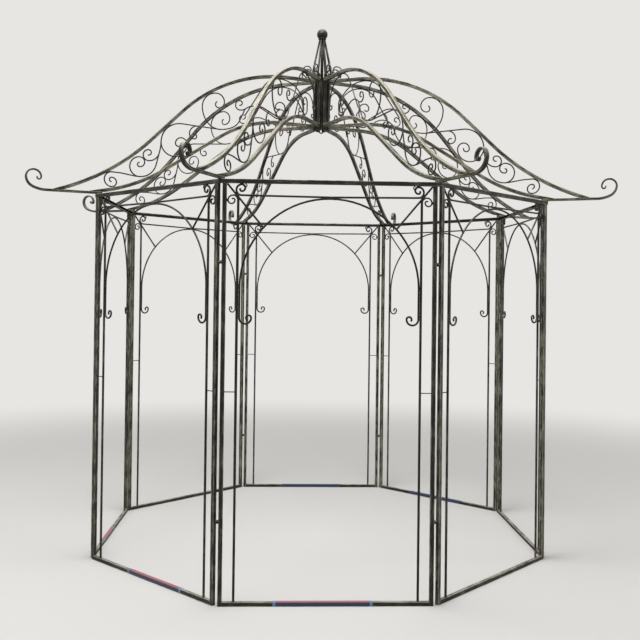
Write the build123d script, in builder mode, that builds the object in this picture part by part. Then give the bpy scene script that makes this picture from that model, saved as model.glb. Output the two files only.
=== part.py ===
"""Garden gazebo: an open octagon of wrought-iron panels under eight scrolled roof ribs.

Millimetres, +Z up, origin on the floor at the middle of the octagon.
The front panel faces -Y. A panel is drawn flat, along its width and up, and stood on its side
of the octagon. A rib is drawn flat too, out along the radius and up, and stood over a corner.
"""

import os
from math import asin, atan2, ceil, cos, degrees, radians, sin, sqrt, tan

from build123d import *

os.makedirs("parts", exist_ok=True)

# The octagon and its stock: square tube, upright rod, scroll rod, finer rib rod
across_flats = 2500.0
tube = 20.0
upright_rod = 12.0
rod = 9.0
rib_rod = 6.0
seat_gap = 0.3
sides = 8

# Bent rods and tubes are drawn in short chords, each turning by no more than these. Tight bends get
# longer chords.
facet_angle = 45.0
tight_facet_angle = 60.0
tight_radius = 36.0
tip_facet_angle = 30.0
arch_facet_angle = 12.0
tube_facet_angle = 9.0

# Panels
panel_height = 2000.0
post_setback = 20.0
upright_inset = 54.0
upright_eye_radius = 16.0
hoop_drop = 56.0
hoop_setback = 16.0
hoop_eye_radius = 16.0
arch_crown_drop = 67.0
arch_rise = 418.0
haunch_share = 0.91
arch_leg = 147.0
foot_radius = 28.0
foot_eye_radius = 12.0
diagonal_angle = 42.0
diagonal_cut_share = 0.65
spacer_height = 1000.0
spacer_thickness = 5.0

# Bolts between the posts of neighbouring panels
bolt_inset = 391.0
bolt_size = 12.0

# Wraps of tape on some bottom rails
wrapped_panels = ("front", "front_left", "left", "back", "back_right")
wrap_length = 440.0
wrap_thickness = 1.0
wrap_lift = 0.5

# Hub, measured up from the top of the panels
hub_rise = 784.0
hub_height = 316.0
hub_across = 106.0
hub_core_recess = 12.0

# Rib tubes: a level start at the hub, a bend down, a straight slope and a flare out to the eave
upper_drop = 12.0
upper_overhang = 250.0
upper_end_rise = 2.5
upper_bend_share = 0.592
upper_bend_angle = 45.0
upper_flare_share = 0.815
upper_flare_angle = 29.0
lower_lift = 25.0
lower_overhang = 27.0
lower_end_rise = 12.5
lower_bend_share = 0.5275
lower_bend_angle = 33.5
lower_flare_share = 0.704
lower_flare_angle = 26.5

# Eave strip of a rib, forged thinner where it curls
strip_thickness = 14.0
tip_thickness = 9.0
strip_inner_reach = 25.0
strip_past_tube = 37.0
tip_radius = 90.0
tip_angle = 82.0
tip_curl_radius = 36.0
tip_curl_angle = 188.0
tip_eye_radius = 15.0

# Rib scrolls, as runs and bends from tail to eye. Each pair is a bend's radius, or the length of a
# straight run, as a share of the rib's depth, and the angle that it turns by. They are drawn for a
# hub in proportion to the roof, then stretched to the gap between the tubes.
usual_hub_share = 0.403
arbour_place_share = 0.173
arbour_height_share = 0.951
arbour_inner_shares = ((0.573, 57), (0.265, 0), (0.104, 165))
arbour_outer_shares = ((0.448, -58), (0.760, 0))
wave_place_share = 0.296
wave_height_share = 0.301
hub_scroll_shares = ((0.376, 28), (0.323, 0), (0.197, -28), (0.143, -90), (0.108, 0), (0.111, -225))
wave_scroll_shares = ((0.323, -38), (0.215, 38), (0.100, 225))
lobe_scroll_shares = (
    (0.108, -28),
    (0.233, 0),
    (0.358, 40),
    (0.645, 26),
    (0.341, 50),
    (0.502, 40),
    (0.308, 90),
    (0.172, 90),
    (0.129, 90),
)
belly_rise_angle = 3.0
belly_scroll_shares = ((0.806, 0), (0.412, -93), (0.272, -180), (0.122, -180))
drop_scroll_shares = ((0.172, -93), (0.100, -90), (0.054, -135))
drop_place_share = 0.466
hanging_scroll_shares = ((0.717, 14), (0.310, 0), (0.344, 76), (0.200, 180), (0.100, 135))
leaf_place_share = 0.060
leaf_scroll_shares = ((0.222, 76), (0.111, 180), (0.054, 90))
eave_scroll_shares = ((0.896, 12), (1.767, -12), (0.147, -180), (0.093, -135))
crown_reach = 24.0
crown_scroll_shares = ((0.060, 0), (0.129, 180), (0.075, 180))

# Finial
finial_rise = 249.0
finial_rod = 8.0
finial_neck_radius = 20.0
finial_hook_radius = 13.0
finial_hook_angle = 200.0
stem_radius = 7.0
collar_radius = 24.0
collar_thickness = 8.0
ball_diameter = 66.0
ball_seat = 9.0
ball_sides = 16
ball_bands = 6
ball_top_tilt = 80.0

panel_names = ("right", "back_right", "back", "back_left", "left", "front_left", "front", "front_right")
rib_names = (
    "right_back_rib",
    "back_right_rib",
    "back_left_rib",
    "left_back_rib",
    "left_front_rib",
    "front_left_rib",
    "front_right_rib",
    "right_front_rib",
)

# Places that follow from the sizes above
apothem = across_flats / 2
corner_angle = 180.0 / sides
half_side = apothem * tan(radians(corner_angle))
corner_radius = apothem / cos(radians(corner_angle))
post_place = half_side - post_setback
post_inner = post_place - tube / 2
upright_place = post_inner - upright_inset
hub_top = panel_height + hub_rise
hub_bottom = hub_top - hub_height
hub_radius = hub_across / 2
bar_inner = hub_radius - tube
upper_height = hub_top - upper_drop
lower_height = hub_bottom + lower_lift
usual_lower_height = hub_top - usual_hub_share * hub_rise + lower_lift
rib_depth = upper_height - usual_lower_height
strip_level = panel_height + strip_thickness / 2
strip_end = corner_radius + upper_overhang + strip_past_tube


def panel_plane(number):
    """Upright plane of one side: x along the panel, y up, facing outwards."""
    turn = radians(2 * corner_angle * number)
    out = Vector(cos(turn), sin(turn), 0)
    return Plane(origin=out * apothem, x_dir=(-sin(turn), cos(turn), 0), z_dir=out)


def rib_plane(number):
    """Upright plane through one corner: x out along the radius, y up."""
    turn = radians(corner_angle * (2 * number + 1))
    out = Vector(cos(turn), sin(turn), 0)
    return Plane(origin=(0, 0, 0), x_dir=out, z_dir=(sin(turn), -cos(turn), 0))


def save(piece, name):
    """Names a finished piece and writes it to its own file."""
    piece.part.label = name
    export_step(piece.part, f"parts/{name}.step")


def facing(angle):
    """Unit vector at an angle from level."""
    return Vector(cos(radians(angle)), sin(radians(angle)))


def bend_rod(start, heading, bends, facet=facet_angle):
    """Corner points of a rod bent in the flat, and the angle that its end points at.

    A bend is a radius and a turn, to the left if it is positive. A turn of zero is a straight run.
    """
    points = [Vector(start)]
    for size, turn in bends:
        if turn == 0:
            points.append(points[-1] + facing(heading) * size)
            continue
        side = 90 if turn > 0 else -90
        centre = points[-1] + facing(heading + side) * size
        chords = ceil(abs(turn) / (tight_facet_angle if size < tight_radius else facet))
        for step in range(1, chords + 1):
            points.append(centre + facing(heading + turn * step / chords - side) * size)
        heading += turn
    return points, heading


def rib_bends(shares):
    """Bends of a rib scroll at full size."""
    return [(share * rib_depth, turn) for share, turn in shares]


def draw_rod(points, width, mode=Mode.ADD):
    """Adds a flat bar of the given width along straight chords to the open sketch, or cuts it away."""
    with BuildLine() as path:
        Polyline(*points)
    trace(path.line, line_width=width, mode=mode)


def tube_run(height, overhang, end_rise, bend_share, bend_angle, flare_share, flare_angle):
    """Corner points of a rib tube. Its level start and its slope take up what the bends leave."""
    span = corner_radius + overhang - hub_radius
    steep, shallow = radians(bend_angle), radians(bend_angle - flare_angle)
    bend, flare = bend_share * span, flare_share * span
    drop = height - panel_height - end_rise
    slope = (drop - bend * (1 - cos(steep)) - flare * (cos(shallow) - cos(steep))) / sin(steep)
    level = span - bend * sin(steep) - slope * cos(steep) - flare * (sin(steep) - sin(shallow))
    bends = ((level, 0), (bend, -bend_angle), (slope, 0), (flare, flare_angle))
    return bend_rod((hub_radius, height), 0, bends, tube_facet_angle)[0]


def height_at(line, reach):
    """Height of a rib tube's line at a distance from the axis."""
    for start, end in zip(line, line[1:]):
        if reach <= end.X:
            break
    return start.Y + (end.Y - start.Y) * (reach - start.X) / (end.X - start.X)


# Flat drawing of the arch: two haunches and a flatter crown, legs with feet curled inwards
arch_half_span = upright_place - (upright_rod + rod) / 2 - seat_gap
arch_crown = panel_height - tube - arch_crown_drop
springing = arch_crown - arch_rise
haunch_radius = haunch_share * arch_rise
crown_radius = (arch_half_span**2 + arch_rise**2 - 2 * arch_half_span * haunch_radius) / (
    2 * (arch_rise - haunch_radius)
)
haunch_centre = Vector(arch_half_span - haunch_radius, springing)
crown_centre = Vector(0, arch_crown - crown_radius)
haunch_angle = degrees(atan2(haunch_centre.Y - crown_centre.Y, haunch_centre.X))
foot_bends = ((foot_radius, -180), (foot_eye_radius, -180))
foot_curl, _ = bend_rod((arch_half_span, springing - arch_leg), -90, foot_bends)
arch_bends = ((crown_radius, haunch_angle - 90), (haunch_radius, -haunch_angle))
arch_top, _ = bend_rod((0, arch_crown), 0, arch_bends, arch_facet_angle)
arch_right = arch_top + foot_curl
arch_line = [Vector(-point.X, point.Y) for point in arch_right[:0:-1]] + arch_right

with BuildSketch() as arch_drawing:
    draw_rod(arch_line, rod)

# Flat drawing of the scrolled rods round the arch. A diagonal stops against the arch.
hoop_height = panel_height - tube - hoop_drop
mitre_share = 1 / cos(radians(tight_facet_angle / 2))
hoop_radius = (hoop_drop - rod / 2 * mitre_share - seat_gap) / 2
upright_radius = (upright_inset - upright_rod / 2 * mitre_share - seat_gap) / 2
upright_bends = (
    (hoop_height - upright_radius - tube, 0),
    (upright_radius, -180),
    (upright_eye_radius, -180),
)
hoop_bends = ((upright_place - hoop_setback, 0), (hoop_radius, 180), (hoop_eye_radius, 180))
diagonal_foot = crown_centre + facing(diagonal_angle) * crown_radius
corner = Vector(post_inner, panel_height - tube)
diagonal_top = corner + (diagonal_foot - corner).normalized() * rod * diagonal_cut_share

with BuildSketch() as scroll_drawing:
    draw_rod(bend_rod((upright_place, tube), 90, upright_bends)[0], upright_rod)
    draw_rod(bend_rod((0, hoop_height), 0, hoop_bends)[0], rod)
    draw_rod((diagonal_top, diagonal_foot), rod)
    draw_rod(((upright_place, spacer_height), (post_inner - seat_gap, spacer_height)), spacer_thickness)
    draw_rod(arch_line, rod + 2 * seat_gap, Mode.SUBTRACT)
    mirror(about=Plane.YZ)

for number, side in enumerate(panel_names):
    with BuildPart() as posts:
        with BuildSketch(panel_plane(number)):
            with Locations((-post_place, panel_height / 2), (post_place, panel_height / 2)):
                Rectangle(tube, panel_height)
        extrude(amount=tube / 2, both=True)
    save(posts, f"{side}_posts")

    with BuildPart() as arch:
        with BuildSketch(panel_plane(number)):
            add(arch_drawing.sketch_local)
        extrude(amount=rod / 2, both=True)
    save(arch, f"{side}_arch")

    with BuildPart() as scrolls:
        with BuildSketch(panel_plane(number)):
            add(scroll_drawing.sketch_local)
        extrude(amount=rod / 2, both=True)
    save(scrolls, f"{side}_scrolls")

# Rails between the posts of every panel
with BuildPart() as bottom_rails:
    with BuildSketch():
        with PolarLocations(apothem, sides):
            Rectangle(tube, 2 * post_inner)
    extrude(amount=tube)
save(bottom_rails, "bottom_rails")

with BuildPart() as top_rails:
    with BuildSketch(Plane.XY.offset(panel_height)):
        with PolarLocations(apothem, sides):
            Rectangle(tube, 2 * post_inner)
    extrude(amount=-tube)
save(top_rails, "top_rails")

# Wraps of tape over the top and both sides of a bottom rail
with BuildPart() as rail_wraps:
    for side in wrapped_panels:
        stand = panel_plane(panel_names.index(side))
        with BuildSketch(Plane(origin=stand.origin, x_dir=stand.z_dir, z_dir=-stand.x_dir)):
            with Locations((0, wrap_lift)):
                Rectangle(
                    tube + 2 * wrap_thickness,
                    tube + wrap_thickness - wrap_lift,
                    align=(Align.CENTER, Align.MIN),
                )
            Rectangle(tube, tube, align=(Align.CENTER, Align.MIN), mode=Mode.SUBTRACT)
        extrude(amount=wrap_length / 2, both=True)
save(rail_wraps, "rail_wraps")

# Centre lines of a rib's two tubes, and of the lower one under a hub of the usual height
upper_shape = (upper_bend_share, upper_bend_angle, upper_flare_share, upper_flare_angle)
lower_shape = (lower_bend_share, lower_bend_angle, lower_flare_share, lower_flare_angle)
upper_line = tube_run(upper_height, upper_overhang, upper_end_rise, *upper_shape)
lower_line = tube_run(lower_height, lower_overhang, lower_end_rise, *lower_shape)
usual_lower_line = tube_run(usual_lower_height, lower_overhang, lower_end_rise, *lower_shape)

# Flat drawing of a rib: end bar, both tubes cut level on the eave strip, the strip and its curl
tip_bends = ((tip_radius, tip_angle), (tip_curl_radius, tip_curl_angle), (tip_eye_radius, 180))
strip_start = (corner_radius - strip_inner_reach, strip_level)
strip_tail = (strip_end, strip_level)
with BuildSketch() as rib_drawing:
    draw_rod(upper_line, tube)
    draw_rod(lower_line, tube)
    with Locations((corner_radius, panel_height / 2)):
        Rectangle(2 * corner_radius, panel_height + 2 * strip_thickness, mode=Mode.SUBTRACT)
    with Locations((bar_inner + tube / 2, (hub_bottom + hub_top) / 2)):
        Rectangle(tube, hub_height)
    draw_rod((strip_start, strip_tail), strip_thickness)
    draw_rod(bend_rod(strip_tail, 0, tip_bends, tip_facet_angle)[0], tip_thickness)

# Flat drawing of the scrolls between the tubes of a rib, each starting from the one before it
span = corner_radius - hub_radius
arbour_height = usual_lower_height + arbour_height_share * rib_depth
arbour_top = Vector(hub_radius + arbour_place_share * span, arbour_height)
arbour_inner, _ = bend_rod(arbour_top, 180, rib_bends(arbour_inner_shares))
arbour_outer, _ = bend_rod(arbour_top, 0, rib_bends(arbour_outer_shares))
crest = Vector(hub_radius + wave_place_share * span, usual_lower_height + wave_height_share * rib_depth)
hub_scroll, _ = bend_rod(crest, 180, rib_bends(hub_scroll_shares))
wave_scroll, _ = bend_rod(crest, 0, rib_bends(wave_scroll_shares))
wave_dip, wave_heading = bend_rod(crest, 0, rib_bends(wave_scroll_shares[:1]))
lobe_scroll, _ = bend_rod(wave_dip[-1], wave_heading, rib_bends(lobe_scroll_shares))
lobe_low, _ = bend_rod(wave_dip[-1], wave_heading, rib_bends(lobe_scroll_shares[:4]))
belly_scroll, _ = bend_rod(lobe_low[-1], belly_rise_angle, rib_bends(belly_scroll_shares))
belly_outside, belly_heading = bend_rod(lobe_low[-1], belly_rise_angle, rib_bends(belly_scroll_shares[:2]))
drop_start = lobe_low[-1] + facing(belly_rise_angle) * drop_place_share * rib_depth
drop_scroll, _ = bend_rod(drop_start, belly_rise_angle, rib_bends(drop_scroll_shares))
hanging_scroll, _ = bend_rod(belly_outside[-1], belly_heading, rib_bends(hanging_scroll_shares))
hanging_run, run_heading = bend_rod(belly_outside[-1], belly_heading, rib_bends(hanging_scroll_shares[:1]))
leaf_start = hanging_run[-1] + facing(run_heading) * leaf_place_share * rib_depth
leaf_scroll, _ = bend_rod(leaf_start, run_heading, rib_bends(leaf_scroll_shares))
hanging_low, low_heading = bend_rod(belly_outside[-1], belly_heading, rib_bends(hanging_scroll_shares[:3]))
eave_scroll, _ = bend_rod(hanging_low[-1], low_heading, rib_bends(eave_scroll_shares))
rib_scrolls = (
    arbour_inner,
    arbour_outer,
    hub_scroll,
    wave_scroll,
    lobe_scroll,
    belly_scroll,
    drop_scroll,
    hanging_scroll,
    leaf_scroll,
    eave_scroll,
)

crown_start = (hub_radius + crown_reach, upper_height + tube / 2 + seat_gap + rib_rod / 2)
crown_scroll, _ = bend_rod(crown_start, 0, rib_bends(crown_scroll_shares))


def stretch_to_gap(point):
    """Moves a scroll's point up or down, to the same share of the gap between the tubes."""
    top = height_at(upper_line, point.X)
    usual_low = height_at(usual_lower_line, point.X)
    low = height_at(lower_line, point.X)
    return Vector(point.X, top - (top - low) * (top - point.Y) / (top - usual_low))


with BuildSketch() as rib_scroll_drawing:
    for points in rib_scrolls:
        draw_rod([stretch_to_gap(point) for point in points], rib_rod)
    draw_rod(crown_scroll, rib_rod)
    draw_rod(upper_line, tube + 2 * seat_gap, Mode.SUBTRACT)
    draw_rod(lower_line, tube + 2 * seat_gap, Mode.SUBTRACT)

for number, name in enumerate(rib_names):
    with BuildPart() as rib:
        with BuildSketch(rib_plane(number)):
            add(rib_drawing.sketch_local)
        extrude(amount=tube / 2, both=True)
    save(rib, name)

    with BuildPart() as scrolls:
        with BuildSketch(rib_plane(number)):
            add(rib_scroll_drawing.sketch_local)
        extrude(amount=rib_rod / 2, both=True)
    save(scrolls, f"{name}_scrolls")

# Hub core that the end bars of the ribs stand round
with BuildPart() as hub_core:
    with BuildSketch(Plane.XY.offset(hub_bottom + hub_core_recess)):
        RegularPolygon(bar_inner, sides, major_radius=False)
    extrude(amount=hub_height - 2 * hub_core_recess)
save(hub_core, "hub_core")

# Finial: hooked rods stood on the end bars, leaning in to a collar under the ball
collar_height = hub_top + finial_rise
hook_height = hub_top + seat_gap + finial_rod / 2 * mitre_share + finial_hook_radius
hook_centre = Vector(bar_inner + tube / 2, hook_height)
neck = Vector(finial_neck_radius, collar_height)
lean = hook_centre - neck
lean_angle = degrees(atan2(lean.Y, lean.X) + asin(finial_hook_radius / lean.length))
lean_length = sqrt(lean.length**2 - finial_hook_radius**2)
finial_bends = ((finial_rod + lean_length, 0), (finial_hook_radius, -finial_hook_angle))
finial_points, _ = bend_rod(neck - facing(lean_angle) * finial_rod, lean_angle, finial_bends)
with BuildSketch() as finial_drawing:
    draw_rod(finial_points, finial_rod)
    with Locations((0, collar_height)):
        Rectangle(2 * collar_radius, 2 * finial_rod, align=(Align.CENTER, Align.MIN), mode=Mode.SUBTRACT)

with BuildPart() as finial_rods:
    for number in range(sides):
        with BuildSketch(rib_plane(number)):
            add(finial_drawing.sketch_local)
        extrude(amount=finial_rod / 2, both=True)
save(finial_rods, "finial_rods")

# Stem on the hub core, collar, and a ball in flat-sided bands from its seat to a small flat top
stem_foot = hub_top - hub_core_recess + seat_gap
ball_radius = ball_diameter / 2
collar_top = collar_height + collar_thickness
ball_middle = Vector(0, collar_top + ball_radius - ball_seat)
seat_tilt = -degrees(asin((ball_radius - ball_seat) / ball_radius))
band_tilt = (ball_top_tilt - seat_tilt) / ball_bands
with BuildPart() as finial_ball:
    with BuildSketch(Plane.XY.offset(stem_foot)):
        RegularPolygon(stem_radius, sides)
    extrude(amount=collar_height - stem_foot)
    with BuildSketch(Plane.XY.offset(collar_height)):
        RegularPolygon(collar_radius, ball_sides)
    extrude(amount=collar_thickness)
    for band in range(ball_bands):
        low = ball_middle + facing(seat_tilt + band_tilt * band) * ball_radius
        high = ball_middle + facing(seat_tilt + band_tilt * (band + 1)) * ball_radius
        lean_in = degrees(atan2(low.X - high.X, high.Y - low.Y))
        with BuildSketch(Plane.XY.offset(low.Y)):
            RegularPolygon(low.X, ball_sides, major_radius=False)
        extrude(amount=high.Y - low.Y, taper=lean_in)
save(finial_ball, "finial_ball")

# Bolts: short blocks that fill the wedge between the posts of neighbouring panels
post_end = post_place + tube / 2
turn = radians(corner_angle)
bolt_near = apothem - bolt_size / 2
bolt_far = apothem + bolt_size / 2
near_corner = (bolt_near * cos(turn) + post_end * sin(turn), bolt_near * sin(turn) - post_end * cos(turn))
far_corner = (bolt_far * cos(turn) + post_end * sin(turn), bolt_far * sin(turn) - post_end * cos(turn))
bolt_heights = (bolt_inset, panel_height - bolt_inset)
with BuildPart() as corner_bolts:
    with BuildSketch(*[Plane.XY.offset(height - bolt_size / 2) for height in bolt_heights]):
        with PolarLocations(0, sides, start_angle=corner_angle):
            Polygon(
                near_corner,
                far_corner,
                (far_corner[0], -far_corner[1]),
                (near_corner[0], -near_corner[1]),
                align=None,
            )
    extrude(amount=bolt_size)
save(corner_bolts, "corner_bolts")
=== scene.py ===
"""Looks for the garden gazebo: round scroll rods, soft-edged tubes, welds, bolts and tape.

Metres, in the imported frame's own place. Every rod and tube is a section carried along a flat line
of straight runs and round bends. Panels and ribs are drawn flat and stood round the octagon.
"""

from math import asin, atan2, ceil, cos, degrees, radians, sin, sqrt, tan

import bpy
import numpy as np
from mathutils import Matrix


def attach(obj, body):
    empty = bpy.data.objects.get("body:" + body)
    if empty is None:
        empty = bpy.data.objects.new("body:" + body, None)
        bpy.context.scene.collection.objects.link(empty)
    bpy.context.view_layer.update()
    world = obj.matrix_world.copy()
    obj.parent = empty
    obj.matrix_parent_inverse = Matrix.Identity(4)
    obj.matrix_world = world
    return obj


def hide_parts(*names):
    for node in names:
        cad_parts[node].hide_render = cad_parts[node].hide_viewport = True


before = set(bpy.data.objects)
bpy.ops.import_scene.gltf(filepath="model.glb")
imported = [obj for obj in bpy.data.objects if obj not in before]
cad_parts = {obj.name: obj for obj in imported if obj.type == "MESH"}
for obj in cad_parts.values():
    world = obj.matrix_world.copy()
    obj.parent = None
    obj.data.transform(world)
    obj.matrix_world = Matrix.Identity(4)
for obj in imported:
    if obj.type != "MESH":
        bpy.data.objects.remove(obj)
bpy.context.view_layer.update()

# Octagon and stock. Some tubes stop short by the inset, and a ring lies inside every end by the hold
sides = 8
across_flats = 2.5
tube = 0.020
tube_corner = 0.0024
upright_rod = 0.012
rod = 0.0096
rib_rod = 0.0076
seat_gap = 0.0003
end_inset = 0.0006
end_hold = 0.0006

# Panels
panel_height = 2.0
post_setback = 0.020
upright_inset = 0.054
upright_eye_radius = 0.016
upright_taper_points = (1, 14)
upright_tip_share = 0.62
hoop_drop = 0.056
hoop_sag = 0.004
hoop_setback = 0.016
hoop_eye_radius = 0.016
inner_eye_turn = 120.0
arch_crown_drop = 0.067
arch_rise = 0.418
haunch_share = 0.91
arch_leg = 0.147
foot_radius = 0.028
foot_eye_radius = 0.012
foot_eye_turn = 215.0
diagonal_angle = 42.0
spacer_height = 1.0
spacer_thickness = 0.005
tendril_place = 0.401
tendril_radius = 0.0075
tendril_turn = 250.0
tendril_rod = 0.005
bolt_inset = 0.391
bolt_diameter = 0.008
bolt_nut_across = 0.0165
bolt_nut_length = 0.0125

# Hub, ribs and finial
hub_rise = 0.784
hub_height = 0.316
hub_radius = 0.053
hub_core_recess = 0.012
hub_ring_radius = 0.013
upper_drop = 0.012
upper_overhang = 0.250
upper_end_rise = 0.0025
upper_shape = (0.592, 45.0, 0.815, 29.0)
lower_lift = 0.025
lower_overhang = 0.027
lower_end_rise = 0.0125
lower_shape = (0.5275, 33.5, 0.704, 26.5)
strip_thickness = 0.014
strip_corner = 0.0016
strip_inner_reach = 0.025
strip_past_tube = 0.0222
strip_last_stretch = 0.08
tip_thickness = 0.0098
tip_end_thickness = 0.0058
tip_thin_share = 0.25
tip_bends = ((0.160, 25.0), (0.062, 57.0), (0.039, 192.0), (0.0105, 190.0))
finial_rise = 0.249
finial_rod = 0.0106
finial_neck_radius = 0.0155
finial_foot_radius = 0.054
finial_hook_radius = 0.013
finial_hook_angle = 275.0
collar_radius = 0.024
collar_thickness = 0.008
stem_radius = 0.009
collar_shares = ((0.84, 0.0), (0.97, 0.06), (1.0, 0.2), (1.0, 0.8), (0.97, 0.94), (0.84, 1.0))
ball_diameter = 0.066
ball_seat = 0.0096
ball_cap_angle = 87.0

# Tape on some bottom rails: the colour marks of its first end, middle and last end, and the places
# along the rail where it starts and stops
two_tone, all_blue = (1.0, 0.0, 1.0), (0.5, 0.5, 0.5)
wrapped_panels = {
    "front": (two_tone, -0.250, 0.220),
    "front_left": (two_tone, -0.170, 0.270),
    "left": (two_tone, -0.060, 0.235),
    "back": (all_blue, -0.220, 0.220),
    "back_right": (all_blue, -0.220, 0.220),
}
wrap_thickness = 0.001
wrap_lift = 0.0005
wrap_end = 0.014

# Rib scrolls: bends and straight runs as shares of the rib's depth, with the angle that each turns by
arbour_place_share = 0.173
arbour_height_share = 0.951
arbour_inner_shares = ((0.573, 57), (0.448, 25), (0.155, 0), (0.060, 180), (0.032, 150))
arbour_outer_shares = ((0.448, -58), (0.760, 0))
wave_place_share = 0.296
wave_height_share = 0.301
hub_scroll_shares = (
    (0.376, 28),
    (0.323, 0),
    (0.197, -28),
    (0.143, -90),
    (0.108, 0),
    (0.111, -180),
    (0.05, -150),
)
wave_scroll_shares = ((0.323, -38), (0.215, 38), (0.100, 180), (0.05, 190))
lobe_scroll_shares = (
    (0.108, -28),
    (0.233, 0),
    (0.358, 40),
    (0.645, 26),
    (0.341, 50),
    (0.502, 40),
    (0.308, 90),
    (0.172, 90),
    (0.129, 90),
    (0.066, 150),
)
belly_rise_angle = 3.0
belly_scroll_shares = ((0.806, 0), (0.412, -93), (0.272, -180), (0.122, -180), (0.06, -190))
drop_scroll_shares = ((0.172, -93), (0.100, -90), (0.054, -200))
drop_place_share = 0.466
hanging_scroll_shares = ((0.717, 14), (0.310, 0), (0.344, 76), (0.200, 180), (0.100, 180), (0.045, 170))
leaf_place_share = 0.060
leaf_scroll_shares = ((0.222, 76), (0.111, 180), (0.054, 190))
eave_scroll_shares = ((0.896, 12), (1.767, -12), (0.147, -180), (0.093, -180), (0.045, -170))
crown_reach = 0.024
crown_scroll_shares = ((0.060, 0), (0.129, 180), (0.075, 180), (0.036, 170))

# Weld beads: half measures along the axes of their stand, and how deep some sit
diagonal_weld = (0.006, 0.006, 0.0052)
crossing_weld = (0.0075, 0.006, 0.0068)
upright_foot_weld = (0.008, 0.003, 0.008)
springing_weld = (0.004, 0.012, 0.0048)
crown_weld = (0.010, 0.004, 0.0045)
crown_weld_place = 0.006
post_weld = (0.003, 0.008, 0.004)
hoop_top_weld = (0.009, 0.003, 0.004)
weld_sink = 0.001
rail_weld = (0.003, 0.003, 0.0095)
rail_weld_sink = 0.0005
rib_tube_weld = (0.0035, 0.0035, 0.0085)
rib_scroll_weld = (0.0042, 0.0042, 0.0036)

# How readily the brush catches: wear of rods and welds, and what is added to it by place. Less on rails, hub
# bars and the front panels is painted shade, and more on the other panels is painted light
rod_wear = 0.4
weld_wear = 0.5
rail_shade_brushing = -0.6
bar_shade_brushing = -0.9
rib_tube_brushing = 0.45
# Front panels are brushed less, a painted shade on their outward faces, and the other panels more, a painted
# light
panel_shade_brushing = {"front": -0.6, "front_left": -0.1}
other_panel_light_brushing = 0.2

# Domes on ends, as shares of the section's half width, and the tilts of their two rings
rod_dome = 0.6
finial_rod_dome = 0.3
strip_dome = 0.3
nut_dome = 0.1
tube_dome = 0.06
no_dome = 0.0
dome_tilts = (35.0, 65.0)

# Points round sections, rings of round pieces, degrees between the points of a bend, the least cosine
# that a mitre is drawn out for, and how far on each run's grain starts
rod_points = 12
rib_rod_points = 10
thin_rod_points = 8
corner_points = 5
strip_corner_points = 4
turned_points = 40
stem_points = 20
ball_rings = 24
bead_points = 10
bead_rings = 7
bead_cap_angle = 12.0
bend_step = 7.0
arch_step = 5.0
strip_step = 5.0
rib_tube_step = 1.25
mitre_limit = 0.4
grain_shift = 0.731

panel_names = ("right", "back_right", "back", "back_left", "left", "front_left", "front", "front_right")
rib_names = (
    "right_back_rib",
    "back_right_rib",
    "back_left_rib",
    "left_back_rib",
    "left_front_rib",
    "front_left_rib",
    "front_right_rib",
    "right_front_rib",
)

# Places that follow
apothem = across_flats / 2
corner_angle = 180.0 / sides
corner_turns = corner_angle * (2 * np.arange(sides) + 1)
corner_cos = cos(radians(corner_angle))
corner_sin = sin(radians(corner_angle))
half_side = apothem * tan(radians(corner_angle))
corner_radius = apothem / corner_cos
post_place = half_side - post_setback
post_inner = post_place - tube / 2
upright_place = post_inner - upright_inset
hub_top = panel_height + hub_rise
hub_bottom = hub_top - hub_height
bar_inner = hub_radius - tube
bar_middle = hub_radius - tube / 2
upper_height = hub_top - upper_drop
lower_height = hub_bottom + lower_lift
rib_depth = upper_height - lower_height
strip_level = panel_height + strip_thickness / 2
strip_top = panel_height + strip_thickness
east, north, sky = np.eye(3)


# A stand is a flat place: its origin, its two axes and the way that it faces
def panel_stand(number):
    """Upright plane of one side of the octagon."""
    turn = radians(2 * corner_angle * number)
    out = cos(turn) * east + sin(turn) * north
    return out * apothem, np.cross(sky, out), sky, out


def rib_stand(number):
    """Upright plane through one corner and the middle axis."""
    turn = radians(corner_turns[number])
    out = cos(turn) * east + sin(turn) * north
    return 0 * sky, out, sky, np.cross(out, sky)


def level_stand(height):
    """Level plane at a height."""
    return height * sky, east, north, sky


def facing(angle):
    """Unit vectors at angles in degrees."""
    turn = np.radians(angle)
    return np.stack([np.cos(turn), np.sin(turn)], axis=-1)


def mirrored(line):
    """A line that starts in the middle, led on from its own mirror image."""
    return np.concatenate([line[:0:-1] * [-1.0, 1.0], line])


def held(line):
    """A line with a point added just inside each end.

    The ring there keeps the shading of the sides true to the end.
    """
    inward = line[[1, -2]] - line[[0, -1]]
    inside = line[[0, -1]] + end_hold * facing(np.degrees(np.arctan2(inward[:, 1], inward[:, 0])))
    return np.concatenate([line[:1], inside[:1], line[1:-1], inside[1:], line[-1:]])


def bend_line(start, heading, bends, step=bend_step):
    """Points of a flat line, and the angle that its end points at.

    A bend is a radius and a turn: its points are the centre plus the radius at evenly spaced angles.
    A turn of zero is a straight run of that length.
    """
    stretches = [np.array([start], float)]
    for size, turn in bends:
        here = stretches[-1][-1]
        if turn == 0:
            stretches.append((here + size * facing(heading))[None])
            continue
        side = 90.0 if turn > 0 else -90.0
        count = ceil(abs(turn) / step)
        centre = here + size * facing(heading + side)
        stretches.append(centre + size * facing(heading - side + turn * np.arange(1, count + 1) / count))
        heading += turn
    return np.concatenate(stretches), heading


def rib_bends(shares):
    """Bends of a rib scroll at full size."""
    return [(share * rib_depth, turn) for share, turn in shares]


def round_section(diameter, count=rod_points):
    """Circle of points, evenly worn."""
    return facing(np.arange(count) * 360.0 / count) * diameter / 2, np.full(count, rod_wear)


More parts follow.
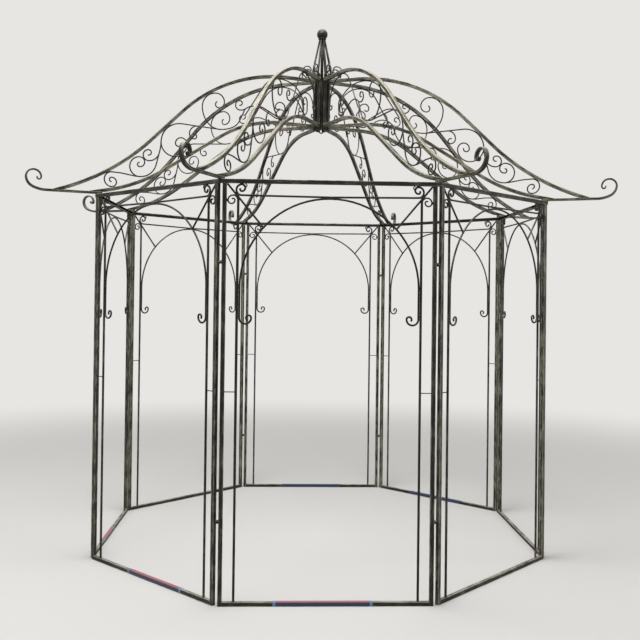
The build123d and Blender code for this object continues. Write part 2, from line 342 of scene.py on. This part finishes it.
def square_section(width, depth, corner, count=corner_points):
    """Rectangle with quarter-circle corners. Wear is 1 on the corners and 0 just inside the flats."""
    quarter = np.concatenate([[[1.0, -1.0]], facing(np.linspace(0, 90, count)), [[-1.0, 1.0]]]) * corner
    spin = np.array([[0.0, 1.0], [-1.0, 0.0]])
    near = np.array([width / 2, depth / 2]) - corner
    across = near + quarter
    upright = near[::-1] + quarter
    ring = np.concatenate([across, upright @ spin, across @ spin @ spin, upright @ spin @ spin @ spin])
    return ring, np.tile(np.concatenate([[0.0], np.ones(count), [0.0]]), 4)


def brushed(section, amount):
    """A section whose wear is raised, so that the brush catches it more, or lowered."""
    ring, wear = section
    return ring, wear + amount


class Ironwork:
    """Gathers grids of points into one mesh, with wear, grain and upward values on every point."""

    def __init__(self):
        self.points, self.wear, self.grain, self.faces, self.smooth = [], [], [], [], []
        self.total = 0

    def add_grid(self, grid, wear, grain, smooth=True, endless=False):
        """Adds a grid whose rows are closed rings. Neighbours make four-sided faces.

        The end rings are closed too, or the last leads on to the first.
        """
        rows, ring = grid.shape[:2]
        index = self.total + np.arange(rows * ring).reshape(rows, ring)
        ends = [] if endless else [index[0, ::-1].tolist(), index[-1].tolist()]
        above = np.concatenate([index[1:], index[:1]]) if endless else index[1:]
        below = index[: len(above)]
        quads = np.stack([below, np.roll(below, -1, axis=1), np.roll(above, -1, axis=1), above], axis=-1)
        quads = quads.reshape(-1, 4)
        self.faces += quads.tolist() + ends
        self.smooth += [smooth] * len(quads) + [False] * len(ends)
        self.points.append(grid.reshape(-1, 3))
        self.wear.append(np.broadcast_to(wear, (rows, ring)).reshape(-1))
        self.grain.append(np.broadcast_to(grain, (rows, ring, 3)).reshape(-1, 3))
        self.total += rows * ring

    def carry(
        self,
        stand,
        line,
        section,
        dome=rod_dome,
        thickness=1.0,
        marks=None,
        cut=None,
        smooth=True,
        endless=False,
    ):
        """Carries a section along a flat line on a stand.

        A point is the line's point, plus the section's first measure along the line's left side, plus
        its second along the stand's facing. Corners are mitred. The ends shrink to a low dome, or the
        far end is drawn on and cut level at a height. Thickness scales the first measure, by point.
        Marks take the place of the section's wear, by point. An endless line stops where it starts,
        on a straight run, and has no ends.
        """
        ring, wear = section
        if not endless:
            thickness = np.pad(np.broadcast_to(thickness, len(line)), 1, mode="edge")
            line = held(line)
        steps = np.diff(line, axis=0)
        lengths = np.linalg.norm(steps, axis=1)
        steps = steps / lengths[:, None]
        after = np.concatenate([steps, steps[-1:]])
        tangent = np.concatenate([steps[:1], steps]) + after
        tangent /= np.linalg.norm(tangent, axis=1)[:, None]
        left = np.stack([-tangent[:, 1], tangent[:, 0]], axis=-1)
        mitre = thickness / np.maximum((tangent * after).sum(1), mitre_limit)
        flat = line[:, None] + (left * mitre[:, None])[:, None] * ring[None, :, :1]
        deep = np.broadcast_to(ring[:, 1], flat.shape[:2])
        along = np.concatenate([[0.0], np.cumsum(lengths)])
        reach = np.abs(ring).max() * dome
        tilt = np.radians(dome_tilts)[:, None]
        caps = []
        for end, way in ((0, -steps[0]), (-1, steps[-1])):
            shrunk = line[end] + np.cos(tilt)[..., None] * (flat[end] - line[end])
            raised = shrunk + np.sin(tilt)[..., None] * reach * way
            caps.append((raised, np.cos(tilt) * deep[end], along[[end, end]]))
        if cut is not None:
            drawn = flat[-1] + ((cut - flat[-1, :, 1]) / steps[-1, 1])[:, None] * steps[-1]
            caps[1] = drawn[None], deep[-1:], along[-1:]
        if endless:
            flat, deep, along = flat[:-1], deep[:-1], along[:-1]
        else:
            flat = np.concatenate([caps[0][0][::-1], flat, caps[1][0]])
            deep = np.concatenate([caps[0][1][::-1], deep, caps[1][1]])
            along = np.concatenate([caps[0][2], along, caps[1][2]])
        if marks is not None:
            wear = np.pad(marks, len(dome_tilts) + 1, mode="edge")[:, None]
        along = along + grain_shift * self.total
        origin, first, second, out = stand
        grid = origin + flat[..., :1] * first + flat[..., 1:] * second + deep[..., None] * out
        spread = np.broadcast_to(along[:, None, None], grid.shape[:2] + (1,))
        grain = np.concatenate([spread, np.broadcast_to(ring, grid.shape[:2] + (2,))], axis=-1)
        self.add_grid(grid, wear, grain, smooth, endless)

    def both_sides(self, stand, line, section, dome=rod_dome, thickness=1.0):
        """Carries a line and its mirror image across the stand's middle."""
        self.carry(stand, line, section, dome, thickness)
        self.carry(stand, line * [-1.0, 1.0], section, dome, thickness)

    def turn(self, profile, count=turned_points):
        """Turns a profile of radius and height, from its foot up, round the middle axis."""
        about = np.broadcast_to(facing(np.arange(count) * 360.0 / count), (len(profile), count, 2))
        height = np.broadcast_to(profile[:, None, 1:], (len(profile), count, 1))
        grid = np.concatenate([profile[:, None, :1] * about, height], axis=-1)
        self.add_grid(grid, rod_wear, grid)

    def bead(self, stand, place, size):
        """Weld bead: points of a sphere, by two angles.

        They are drawn out by three half measures along the stand's axes.
        """
        polar = np.radians(np.linspace(180 - bead_cap_angle, bead_cap_angle, bead_rings))[:, None]
        about = np.radians(np.arange(bead_points) * 360.0 / bead_points)
        ball = (np.sin(polar) * np.cos(about), np.sin(polar) * np.sin(about), np.cos(polar) + 0 * about)
        middle = stand[0] + place[0] * stand[1] + place[1] * stand[2]
        grid = middle + sum(part[..., None] * half * axis for part, half, axis in zip(ball, size, stand[1:]))
        self.add_grid(grid, weld_wear, grid)

    def beads_both_sides(self, stand, welds):
        """Weld beads at their places, and at the mirror images across the stand's middle."""
        for (across, height), size in welds:
            self.bead(stand, (across, height), size)
            self.bead(stand, (-across, height), size)

    def make(self, name, slot, finish, *nodes):
        """Makes the mesh with its point values and lets it stand for its solids."""
        mesh = bpy.data.meshes.new(name)
        mesh.from_pydata(np.concatenate(self.points), [], self.faces)
        mesh.polygons.foreach_set("use_smooth", self.smooth)
        mesh.update()
        normals = np.zeros(self.total * 3, np.float32)
        mesh.vertices.foreach_get("normal", normals)
        for label, value in (("wear", np.concatenate(self.wear)), ("upward", normals[2::3])):
            layer = mesh.attributes.new(label, "FLOAT", "POINT")
            layer.data.foreach_set("value", value.astype(np.float32))
        layer = mesh.attributes.new("grain", "FLOAT_VECTOR", "POINT")
        layer.data.foreach_set("vector", np.concatenate(self.grain).astype(np.float32).ravel())
        mesh.materials.append(finish)
        piece = bpy.data.objects.new(name, mesh)
        bpy.context.scene.collection.objects.link(piece)
        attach(piece, "root")
        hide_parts(*nodes)


# Finishes. Noise scales are per metre, and streaks are drawn out along the grain
noise_detail = 3.0
noise_roughness = 0.6
streak_scale = 260.0
streak_draw = (0.08, 1.0, 1.0)
speck_scale = 330.0
blotch_scale = 8.0
crease_scale = 70.0


class Wire:
    """A node's output. Arithmetic on it adds Math nodes."""

    def __init__(self, finish, socket):
        self.finish, self.socket = finish, socket

    def maths(self, operation, first, second):
        return self.finish.node("ShaderNodeMath", {"operation": operation}, {0: first, 1: second})

    def __add__(self, other):
        return self.maths("ADD", self, other)

    def __radd__(self, other):
        return self.maths("ADD", other, self)

    def __sub__(self, other):
        return self.maths("SUBTRACT", self, other)

    def __rsub__(self, other):
        return self.maths("SUBTRACT", other, self)

    def __mul__(self, other):
        return self.maths("MULTIPLY", self, other)

    def __rmul__(self, other):
        return self.maths("MULTIPLY", other, self)


class Finish:
    """The nodes of one material, or of the world."""

    def __init__(self, owner):
        self.owner = owner
        owner.use_nodes = True
        self.tree = owner.node_tree
        self.tree.nodes.clear()

    def node(self, kind, settings, sockets, output=0):
        """Adds a node, sets it up, fills or links its sockets and gives one of its outputs."""
        made = self.tree.nodes.new(kind)
        for key, value in settings.items():
            setattr(made, key, value)
        for key, value in sockets.items():
            if isinstance(value, Wire):
                self.tree.links.new(value.socket, made.inputs[key])
            else:
                made.inputs[key].default_value = value
        return Wire(self, made.outputs[output]) if made.outputs else None

    def value(self, name, output="Fac"):
        """A value kept on the mesh's points."""
        return self.node("ShaderNodeAttribute", {"attribute_name": name}, {}, output)

    def noise(self, place, scale):
        """Noise at a place, about 0 to 1."""
        sockets = {"Vector": place, "Scale": scale, "Detail": noise_detail, "Roughness": noise_roughness}
        return self.node("ShaderNodeTexNoise", {}, sockets, "Fac")

    def ease(self, value, low, high):
        """0 below the low mark, 1 above the high one, smooth between."""
        sockets = {"Value": value, "From Min": low, "From Max": high}
        return self.node("ShaderNodeMapRange", {"interpolation_type": "SMOOTHSTEP"}, sockets)

    def blend(self, share, first, second):
        """Mixes two colours."""
        return self.node("ShaderNodeMix", {"data_type": "RGBA"}, {0: share, 6: first, 7: second}, 2)

    def shown(self):
        """1 for light that the camera sees, straight or by a mirror, and 0 for light that falls on things."""
        kinds = ("Camera", "Glossy", "Transmission")
        rays = [self.node("ShaderNodeLightPath", {}, {}, f"Is {kind} Ray") for kind in kinds]
        return rays[0] + rays[1] + rays[2]

    def close(self, sockets):
        """Ends in one plain surface shader."""
        surface = self.node("ShaderNodeBsdfPrincipled", {}, sockets)
        self.node("ShaderNodeOutputMaterial", {}, {"Surface": surface})
        return self.owner


def brushed_iron(name, dark, brown, pewter, painted_top_highlight, low, high):
    """Brown-black paint, dry-brushed with pewter.

    The brush drags along each rod, so its streaks are noise stretched along the grain. It catches on
    edges, and more on faces that look up, with a brighter pewter where they look straight up: both a
    painted highlight of the light from above.
    """
    finish = Finish(bpy.data.materials.new(name))
    place = finish.node("ShaderNodeTexCoord", {}, {}, "Object")
    grain = finish.value("grain", "Vector")
    drawn = finish.node("ShaderNodeVectorMath", {"operation": "MULTIPLY"}, {0: grain, 1: streak_draw})
    streak = finish.ease(finish.noise(drawn, streak_scale), 0.35, 0.65)
    speck = finish.ease(finish.noise(place, speck_scale), 0.35, 0.65)
    blotch = finish.ease(finish.noise(place, blotch_scale), 0.3, 0.7)
    upward = finish.value("upward")
    wear = finish.value("wear")
    # Faces that look up catch more pewter, and level ones a brighter pewter: a painted highlight of the light
    # from above
    level = finish.ease(upward, 0.8, 1.0)
    catch = 0.4 * streak + 0.15 * speck + 0.25 * blotch + 0.25 * wear + 0.28 * upward + 0.1 * level
    brush = finish.ease(catch, low, high)
    paint = finish.blend(0.6 * blotch + 0.4 * streak, dark, brown)
    metal = finish.blend(level, pewter, painted_top_highlight)
    height = 0.5 * speck + 0.5 * streak
    bump = finish.node("ShaderNodeBump", {}, {"Strength": 0.2, "Distance": 0.0008, "Height": height})
    return finish.close(
        {
            "Base Color": finish.blend(brush, paint, metal),
            "Metallic": 0.1 + 0.25 * brush,
            "Roughness": 0.52 - 0.04 * brush + 0.1 * speck,
            "Specular IOR Level": 0.3,
            "Normal": bump,
        }
    )


def wrapped_tape():
    """Thin tape with soft creases: dusty rose on top, deep blue sides and pale blue ends.

    Where its mark is half, it is deep blue on top as well.
    """
    finish = Finish(bpy.data.materials.new("tape"))
    upward = finish.value("upward")
    grain = finish.value("grain", "Vector")
    creases = finish.noise(grain, crease_scale)
    mark = finish.value("wear")
    top = finish.ease(upward + 0.2 * creases - 2.0 * mark, 0.25, 0.6)
    blue = finish.blend(creases, (0.010, 0.019, 0.055, 1), (0.026, 0.048, 0.11, 1))
    rose = finish.blend(creases, (0.25, 0.055, 0.08, 1), (0.37, 0.11, 0.135, 1))
    ends = finish.blend(creases, (0.08, 0.17, 0.31, 1), (0.15, 0.28, 0.45, 1))
    colour = finish.blend(finish.ease(mark, 0.6, 0.9), finish.blend(top, blue, rose), ends)
    bump = finish.node("ShaderNodeBump", {}, {"Strength": 0.4, "Distance": 0.001, "Height": creases})
    return finish.close({"Base Color": colour, "Roughness": 0.36 + 0.12 * creases, "Normal": bump})


# The bright pewter of each finish is a painted highlight on faces that look straight up
frame_iron = brushed_iron(
    "frame_iron",
    dark=(0.006, 0.0053, 0.0038, 1),
    brown=(0.027, 0.0235, 0.0155, 1),
    pewter=(0.26, 0.243, 0.19, 1),
    painted_top_highlight=(0.36, 0.34, 0.28, 1),
    low=0.33,
    high=0.88,
)
scroll_iron = brushed_iron(
    "scroll_iron",
    dark=(0.004, 0.0035, 0.0026, 1),
    brown=(0.015, 0.013, 0.0092, 1),
    pewter=(0.16, 0.149, 0.116, 1),
    painted_top_highlight=(0.24, 0.224, 0.178, 1),
    low=0.44,
    high=1.0,
)
tape = wrapped_tape()

# Sections. Rails and hub bars are brushed less than posts, which paints shade on them, and rib tubes more
tube_section = square_section(tube, tube, tube_corner)
rail_section = brushed(tube_section, rail_shade_brushing)
bar_section = brushed(tube_section, bar_shade_brushing)
rib_tube_section = brushed(tube_section, rib_tube_brushing)
strip_section = square_section(strip_thickness, tube, strip_corner, strip_corner_points)
wrap_section = square_section(tube + wrap_thickness - wrap_lift, tube + 2 * wrap_thickness, tube_corner)
upright_section = round_section(upright_rod)
rod_section = round_section(rod)
spacer_section = round_section(spacer_thickness, thin_rod_points)
tendril_section = round_section(tendril_rod, thin_rod_points)
rib_section = round_section(rib_rod, rib_rod_points)
finial_section = round_section(finial_rod)
bolt_section = round_section(bolt_diameter)
nut_section = facing(np.arange(6) * 60.0) * bolt_nut_across / sqrt(3), np.zeros(6)
core_section = facing(corner_turns) * bar_inner / corner_cos, np.zeros(sides)

# Flat lines of a panel. The arch is a crown circle that runs on into two smaller haunch circles
arch_half_span = upright_place - (upright_rod + rod) / 2 - seat_gap
arch_crown = panel_height - tube - arch_crown_drop
springing = arch_crown - arch_rise
haunch_radius = haunch_share * arch_rise
crown_radius = (arch_half_span**2 + arch_rise**2 - 2 * arch_half_span * haunch_radius) / (
    2 * (arch_rise - haunch_radius)
)
haunch_angle = degrees(atan2(springing - arch_crown + crown_radius, arch_half_span - haunch_radius))
arch_bends = (
    (crown_radius, haunch_angle - 90),
    (haunch_radius, -haunch_angle),
    (arch_leg, 0),
    (foot_radius, -180),
    (foot_eye_radius, -foot_eye_turn),
)
arch_line = mirrored(bend_line((0.0, arch_crown), 0.0, arch_bends, arch_step)[0])
hoop_height = panel_height - tube - hoop_drop
hoop_radius = (hoop_drop - rod / 2 - seat_gap) / 2
upright_radius = (upright_inset - upright_rod / 2 - seat_gap) / 2
upright_bends = (
    (hoop_height - upright_radius - tube, 0),
    (upright_radius, -180),
    (upright_eye_radius, -180),
    (upright_eye_radius / 2, -inner_eye_turn),
)
upright_line, _ = bend_line((upright_place, tube), 90.0, upright_bends)
# The upright is full thickness to its curl, which is drawn out thinner
upright_taper = np.interp(np.arange(len(upright_line)), upright_taper_points, [1.0, upright_tip_share])
hoop_reach = upright_place - hoop_setback
hoop_tilt = degrees(atan2(hoop_sag, hoop_reach))
hoop_bends = (
    (hoop_reach, 0),
    (hoop_radius, 180 - hoop_tilt),
    (hoop_eye_radius, 180),
    (hoop_eye_radius / 2, inner_eye_turn),
)
hoop_line = mirrored(bend_line((0.0, hoop_height - hoop_sag), hoop_tilt, hoop_bends)[0])
diagonal_foot = [0.0, arch_crown - crown_radius] + crown_radius * facing(diagonal_angle)
panel_corner = np.array([post_inner - rod / 2, panel_height - tube - rod / 2])
diagonal_line = np.stack([panel_corner, diagonal_foot])
spacer_line = np.array([[upright_place, spacer_height], [post_inner, spacer_height]])
tendril_start = tendril_place, panel_height - tube - tendril_rod / 2
tendril_line, _ = bend_line(tendril_start, 180.0, ((tendril_radius, tendril_turn),))
post_line = np.array([[post_place, end_inset], [post_place, panel_height - tube]])
rail_line = np.array([[-post_inner, tube / 2], [post_inner, tube / 2]])
panel_welds = (
    (diagonal_foot, diagonal_weld),
    ((upright_place, hoop_height), crossing_weld),
    ((upright_place, tube), upright_foot_weld),
    ((upright_place - upright_rod / 2, springing), springing_weld),
    ((crown_weld_place, (arch_crown + hoop_height - hoop_sag) / 2), crown_weld),
    ((post_inner - weld_sink, hoop_height - upright_radius), post_weld),
    ((upright_place - hoop_setback, panel_height - tube - weld_sink), hoop_top_weld),
)
rail_welds = (
    ((post_inner - rail_weld_sink, panel_height - tube), rail_weld),
    ((post_inner - rail_weld_sink, tube), rail_weld),
)
wrap_level = (tube + wrap_thickness + wrap_lift) / 2
wrap_inner_places = np.array([0.0, wrap_end, wrap_end + end_hold])

bottom_rails, top_rails, rail_tape = Ironwork(), Ironwork(), Ironwork()
for number, side in enumerate(panel_names):
    stand = panel_stand(number)
    # Less pewter on the front panels is painted shade, and more on the others is painted light
    amount = panel_shade_brushing.get(side, other_panel_light_brushing)
    posts = Ironwork()
    posts.both_sides(stand, post_line, brushed(tube_section, amount), tube_dome)
    posts.beads_both_sides(stand, rail_welds)
    posts.make(f"{side}_post_tubes", "frame_iron", frame_iron, f"{side}_posts")

    arch = Ironwork()
    arch.carry(stand, arch_line, brushed(rod_section, amount))
    arch.make(f"{side}_arch_rod", "scroll_iron", scroll_iron, f"{side}_arch")

    scrolls = Ironwork()
    scrolls.both_sides(stand, upright_line, brushed(upright_section, amount), thickness=upright_taper)
    scrolls.carry(stand, hoop_line, brushed(rod_section, amount))
    scrolls.both_sides(stand, diagonal_line, brushed(rod_section, amount))
    scrolls.both_sides(stand, spacer_line, spacer_section)
    scrolls.both_sides(stand, tendril_line, tendril_section)
    scrolls.beads_both_sides(stand, panel_welds)
    scrolls.make(f"{side}_scroll_rods", "scroll_iron", scroll_iron, f"{side}_scrolls")

    bottom_rails.carry(stand, rail_line, rail_section, no_dome)
    if side in wrapped_panels:
        marks, first_end, last_end = wrapped_panels[side]
        places = np.concatenate([first_end + wrap_inner_places, last_end - wrap_inner_places[::-1]])
        wrap_line = np.stack([places, np.full(len(places), wrap_level)], axis=-1)
        rail_tape.carry(stand, wrap_line, wrap_section, no_dome, marks=np.repeat(marks, 2))

# The top rails run over the posts and are mitred at the corners, with a ring held close on either side
corners = corner_radius * facing(corner_turns)
before = corners - end_hold * facing(corner_turns + 90 - corner_angle)
beyond = corners + end_hold * facing(corner_turns + 90 + corner_angle)
side_middle = [[apothem, 0.0]]
octagon = np.stack([before, corners, beyond], axis=1).reshape(-1, 2)
octagon = np.concatenate([side_middle, octagon, side_middle])
top_rails.carry(level_stand(panel_height - tube / 2), octagon, rail_section, endless=True)
bottom_rails.make("bottom_rail_tubes", "frame_iron", frame_iron, "bottom_rails")
top_rails.make("top_rail_tubes", "frame_iron", frame_iron, "top_rails")
rail_tape.make("rail_tape", "tape", tape, "rail_wraps")


# Ribs
def tube_run(height, overhang, end_rise, bend_share, bend_angle, flare_share, flare_angle):
    """Rib tube's line: level, bend down, slope and flare, as far as it stands clear of the eave strip.

    The level start and the slope take up what the bends leave.
    """
    span = corner_radius + overhang - hub_radius
    steep, shallow = radians(bend_angle), radians(bend_angle - flare_angle)
    bend, flare = bend_share * span, flare_share * span
    drop = height - panel_height - end_rise
    slope = (drop - bend * (1 - cos(steep)) - flare * (cos(shallow) - cos(steep))) / sin(steep)
    level = span - bend * sin(steep) - slope * cos(steep) - flare * (sin(steep) - sin(shallow))
    bends = ((level, 0), (bend, -bend_angle), (slope, 0), (flare, flare_angle))
    line, _ = bend_line((hub_radius, height), 0.0, bends, rib_tube_step)
    return line[line[:, 1] > strip_top + tube / 2]


def follow(start, heading, shares):
    """Where some bends of a rib scroll lead to, and the angle there."""
    line, heading = bend_line(start, heading, rib_bends(shares))
    return line[-1], heading


def scroll_chain():
    """Lines of a rib's scrolls. Most start on another one, and the last stands on the upper tube."""
    span = corner_radius - hub_radius
    arbour_top = hub_radius + arbour_place_share * span, lower_height + arbour_height_share * rib_depth
    crest = hub_radius + wave_place_share * span, lower_height + wave_height_share * rib_depth
    crown_start = hub_radius + crown_reach, upper_height + tube / 2 + rib_rod / 2
    wave_dip, wave_heading = follow(crest, 0.0, wave_scroll_shares[:1])
    lobe_low, _ = follow(wave_dip, wave_heading, lobe_scroll_shares[:4])
    belly_outside, belly_heading = follow(lobe_low, belly_rise_angle, belly_scroll_shares[:2])
    hanging_run, run_heading = follow(belly_outside, belly_heading, hanging_scroll_shares[:1])
    hanging_low, low_heading = follow(belly_outside, belly_heading, hanging_scroll_shares[:3])
    drop_start = lobe_low + facing(belly_rise_angle) * drop_place_share * rib_depth
    leaf_start = hanging_run + facing(run_heading) * leaf_place_share * rib_depth
    scrolls = (
        (arbour_top, 180.0, arbour_inner_shares),
        (arbour_top, 0.0, arbour_outer_shares),
        (crest, 180.0, hub_scroll_shares),
        (crest, 0.0, wave_scroll_shares),
        (wave_dip, wave_heading, lobe_scroll_shares),
        (lobe_low, belly_rise_angle, belly_scroll_shares),
        (drop_start, belly_rise_angle, drop_scroll_shares),
        (belly_outside, belly_heading, hanging_scroll_shares),
        (leaf_start, run_heading, leaf_scroll_shares),
        (hanging_low, low_heading, eave_scroll_shares),
        (crown_start, 0.0, crown_scroll_shares),
    )
    return [bend_line(start, heading, rib_bends(shares))[0] for start, heading, shares in scrolls]


upper_line = tube_run(upper_height, upper_overhang, upper_end_rise, *upper_shape)
lower_line = tube_run(lower_height, lower_overhang, lower_end_rise, *lower_shape)
strip_end = corner_radius + upper_overhang + strip_past_tube
strip_first_stretch = strip_end - corner_radius + strip_inner_reach - strip_last_stretch
strip_bends = ((strip_first_stretch, 0), (strip_last_stretch, 0), *tip_bends)
strip_start = corner_radius - strip_inner_reach, strip_level
strip_line, _ = bend_line(strip_start, 0.0, strip_bends, strip_step)
# The strip is full thickness where it is straight. Round its curl it thins fast at first, then slowly
curl_share = np.linspace(0.0, 1.0, len(strip_line) - 2)
curl_thickness = (strip_thickness, tip_thickness, tip_end_thickness)
curl_taper = np.interp(curl_share, [0.0, tip_thin_share, 1.0], curl_thickness) / strip_thickness
strip_taper = np.concatenate([[1.0, 1.0], curl_taper])
bar_line = np.array([[bar_middle, hub_bottom + end_inset], [bar_middle, hub_top - end_inset]])
rib_scroll_lines = scroll_chain()
for number, name in enumerate(rib_names):
    stand = rib_stand(number)
    rib = Ironwork()
    rib.carry(stand, bar_line, bar_section, tube_dome)
    rib.carry(stand, upper_line, rib_tube_section, no_dome, cut=strip_top)
    rib.carry(stand, lower_line, rib_tube_section, no_dome, cut=strip_top)
    rib.carry(stand, strip_line, strip_section, strip_dome, thickness=strip_taper)
    for height in (upper_height, lower_height):
        for edge in (-1, 1):
            rib.bead(stand, (hub_radius, height + edge * tube / 2), rib_tube_weld)
    rib.make(f"{name}_tubes", "frame_iron", frame_iron, name)

    scrolls = Ironwork()
    for line in rib_scroll_lines:
        scrolls.carry(stand, line, rib_section)
    for place in np.unique([line[0] for line in rib_scroll_lines], axis=0):
        scrolls.bead(stand, place, rib_scroll_weld)
    scrolls.make(f"{name}_scroll_rods", "scroll_iron", scroll_iron, f"{name}_scrolls")

# Hub core, with a small ring under it
hub = Ironwork()
core_bottom, core_top = hub_bottom + hub_core_recess, hub_top - hub_core_recess
hub.carry(rib_stand(0), np.array([[0.0, core_bottom], [0.0, core_top]]), core_section, no_dome, smooth=False)
ring_line, _ = bend_line((0.0, core_bottom), 180.0, ((hub_ring_radius, 360),))
front_axes = panel_stand(panel_names.index("front"))[1:]
hub.carry((0 * sky, *front_axes), ring_line, rib_section)
hub.make("hub_core_block", "frame_iron", frame_iron, "hub_core")

# Finial. Its rods lean out from the neck and run on into the circles of their hooks
collar_height = hub_top + finial_rise
hook_middle = np.array([finial_foot_radius, upper_height + (tube + finial_rod) / 2 + finial_hook_radius])
neck = np.array([finial_neck_radius, collar_height])
lean = hook_middle - neck
lean_size = np.hypot(*lean)
lean_angle = degrees(atan2(lean[1], lean[0]) + asin(finial_hook_radius / lean_size))
lean_length = sqrt(lean_size**2 - finial_hook_radius**2)
finial_bends = ((lean_length, 0), (finial_hook_radius, -finial_hook_angle))
finial_line, _ = bend_line(neck, lean_angle, finial_bends)
cage = Ironwork()
for number in range(sides):
    cage.carry(rib_stand(number), finial_line, finial_section, finial_rod_dome)
cage.make("finial_cage", "scroll_iron", scroll_iron, "finial_rods")

ball = Ironwork()
ball_radius = ball_diameter / 2
ball.turn(np.array(collar_shares) * [collar_radius, collar_thickness] + [0.0, collar_height])
ball_middle = collar_height + collar_thickness + ball_radius - ball_seat
ball_profile = facing(np.linspace(-ball_cap_angle, ball_cap_angle, ball_rings))
ball.turn(ball_profile * ball_radius + [0.0, ball_middle])
ball.turn(np.array([[stem_radius, core_top], [stem_radius, collar_height]]), stem_points)
ball.make("finial_ball_and_collar", "scroll_iron", scroll_iron, "finial_ball")

# Bolts that pull the posts of neighbouring panels together, each with a nut in the gap
bolts = Ironwork()
bolt_middle = apothem * corner_cos + post_place * corner_sin
bolt_reach = post_setback * corner_cos
for height in (bolt_inset, panel_height - bolt_inset):
    stand = level_stand(height)
    for turn in corner_turns:
        middle = facing(turn) * bolt_middle
        across = facing(turn + 90)
        ends = np.stack([-across, across])
        bolts.carry(stand, middle + ends * bolt_reach, bolt_section)
        bolts.carry(stand, middle + ends * bolt_nut_length / 2, nut_section, nut_dome, smooth=False)
bolts.make("corner_bolt_set", "frame_iron", frame_iron, "corner_bolts")

# Floor that fades into the backdrop's colour away from the object
backdrop = (0.80, 0.79, 0.77, 1)
floor_paint = (0.60, 0.59, 0.57, 1)
floor_roughness = 0.8
floor_reach = 60.0
fade_start, fade_end = 2.6, 7.0
floor_mesh = bpy.data.meshes.new("floor")
floor_corners = [(x * floor_reach, y * floor_reach, 0) for x, y in ((-1, -1), (1, -1), (1, 1), (-1, 1))]
floor_mesh.from_pydata(floor_corners, [], [(0, 1, 2, 3)])
floor = bpy.data.objects.new("floor", floor_mesh)
bpy.context.scene.collection.objects.link(floor)
pale_floor = Finish(bpy.data.materials.new("pale_floor"))
ground = pale_floor.node("ShaderNodeTexCoord", {}, {}, "Object")
distance = pale_floor.node("ShaderNodeVectorMath", {"operation": "LENGTH"}, {0: ground}, "Value")
away = pale_floor.shown() * pale_floor.ease(distance, fade_start, fade_end)
near_sockets = {"Base Color": floor_paint, "Roughness": floor_roughness}
near = pale_floor.node("ShaderNodeBsdfPrincipled", {}, near_sockets)
far = pale_floor.node("ShaderNodeEmission", {}, {"Color": backdrop})
fade = pale_floor.node("ShaderNodeMixShader", {}, {0: away, 1: near, 2: far})
pale_floor.node("ShaderNodeOutputMaterial", {}, {"Surface": fade})
floor_mesh.materials.append(pale_floor.owner)

# Plain backdrop where it is seen or mirrored, softer light from all round elsewhere
world = bpy.data.worlds.new("studio")
bpy.context.scene.world = world
studio = Finish(world)
fill_strength = 0.4
strength = fill_strength + (1 - fill_strength) * studio.shown()
light = studio.node("ShaderNodeBackground", {}, {"Color": backdrop, "Strength": strength})
studio.node("ShaderNodeOutputWorld", {}, {"Surface": light})


def aim(thing, place, back, up):
    """Puts a lamp or camera at a place, looking away from its back direction with its top towards up."""
    right = np.cross(up, back)
    right /= np.linalg.norm(right)
    turned = np.stack([right, np.cross(back, right), back], axis=1)
    thing.matrix_world = Matrix([(*row, shift) for row, shift in zip(turned, place)] + [(0, 0, 0, 1)])
    bpy.context.scene.collection.objects.link(thing)


def lamp(name, place, target, size, power):
    """Square soft lamp."""
    data = bpy.data.lights.new(name, "AREA")
    data.size = size
    data.energy = power
    back = np.subtract(place, target)
    aim(bpy.data.objects.new(name, data), place, back / np.linalg.norm(back), north)


lamp("overhead", place=(-0.6, -1.2, 6.2), target=(0.0, 0.0, 1.0), size=3.5, power=410.0)
lamp("left", place=(-6.0, -1.5, 2.6), target=(0.0, 0.0, 1.3), size=3.0, power=45.0)
lamp("right", place=(6.0, -1.5, 2.6), target=(0.0, 0.0, 1.3), size=3.0, power=60.0)

camera_data = bpy.data.cameras.new("camera")
camera_data.lens = 48.70
camera_data.sensor_width = 36.0
camera_data.shift_y = -0.0547
camera = bpy.data.objects.new("camera", camera_data)
camera_place = (-0.2034, -5.3261, 1.4659)
camera_roll = 0.0119
ahead = np.array([0.0389, 0.9992, 0.0099])
ahead /= np.linalg.norm(ahead)
level_right = np.cross(ahead, sky)
level_right /= np.linalg.norm(level_right)
camera_up = np.cross(level_right, ahead) * cos(camera_roll) - level_right * sin(camera_roll)
aim(camera, camera_place, -ahead, camera_up)
bpy.context.scene.camera = camera
bpy.context.scene.view_settings.view_transform = "Standard"
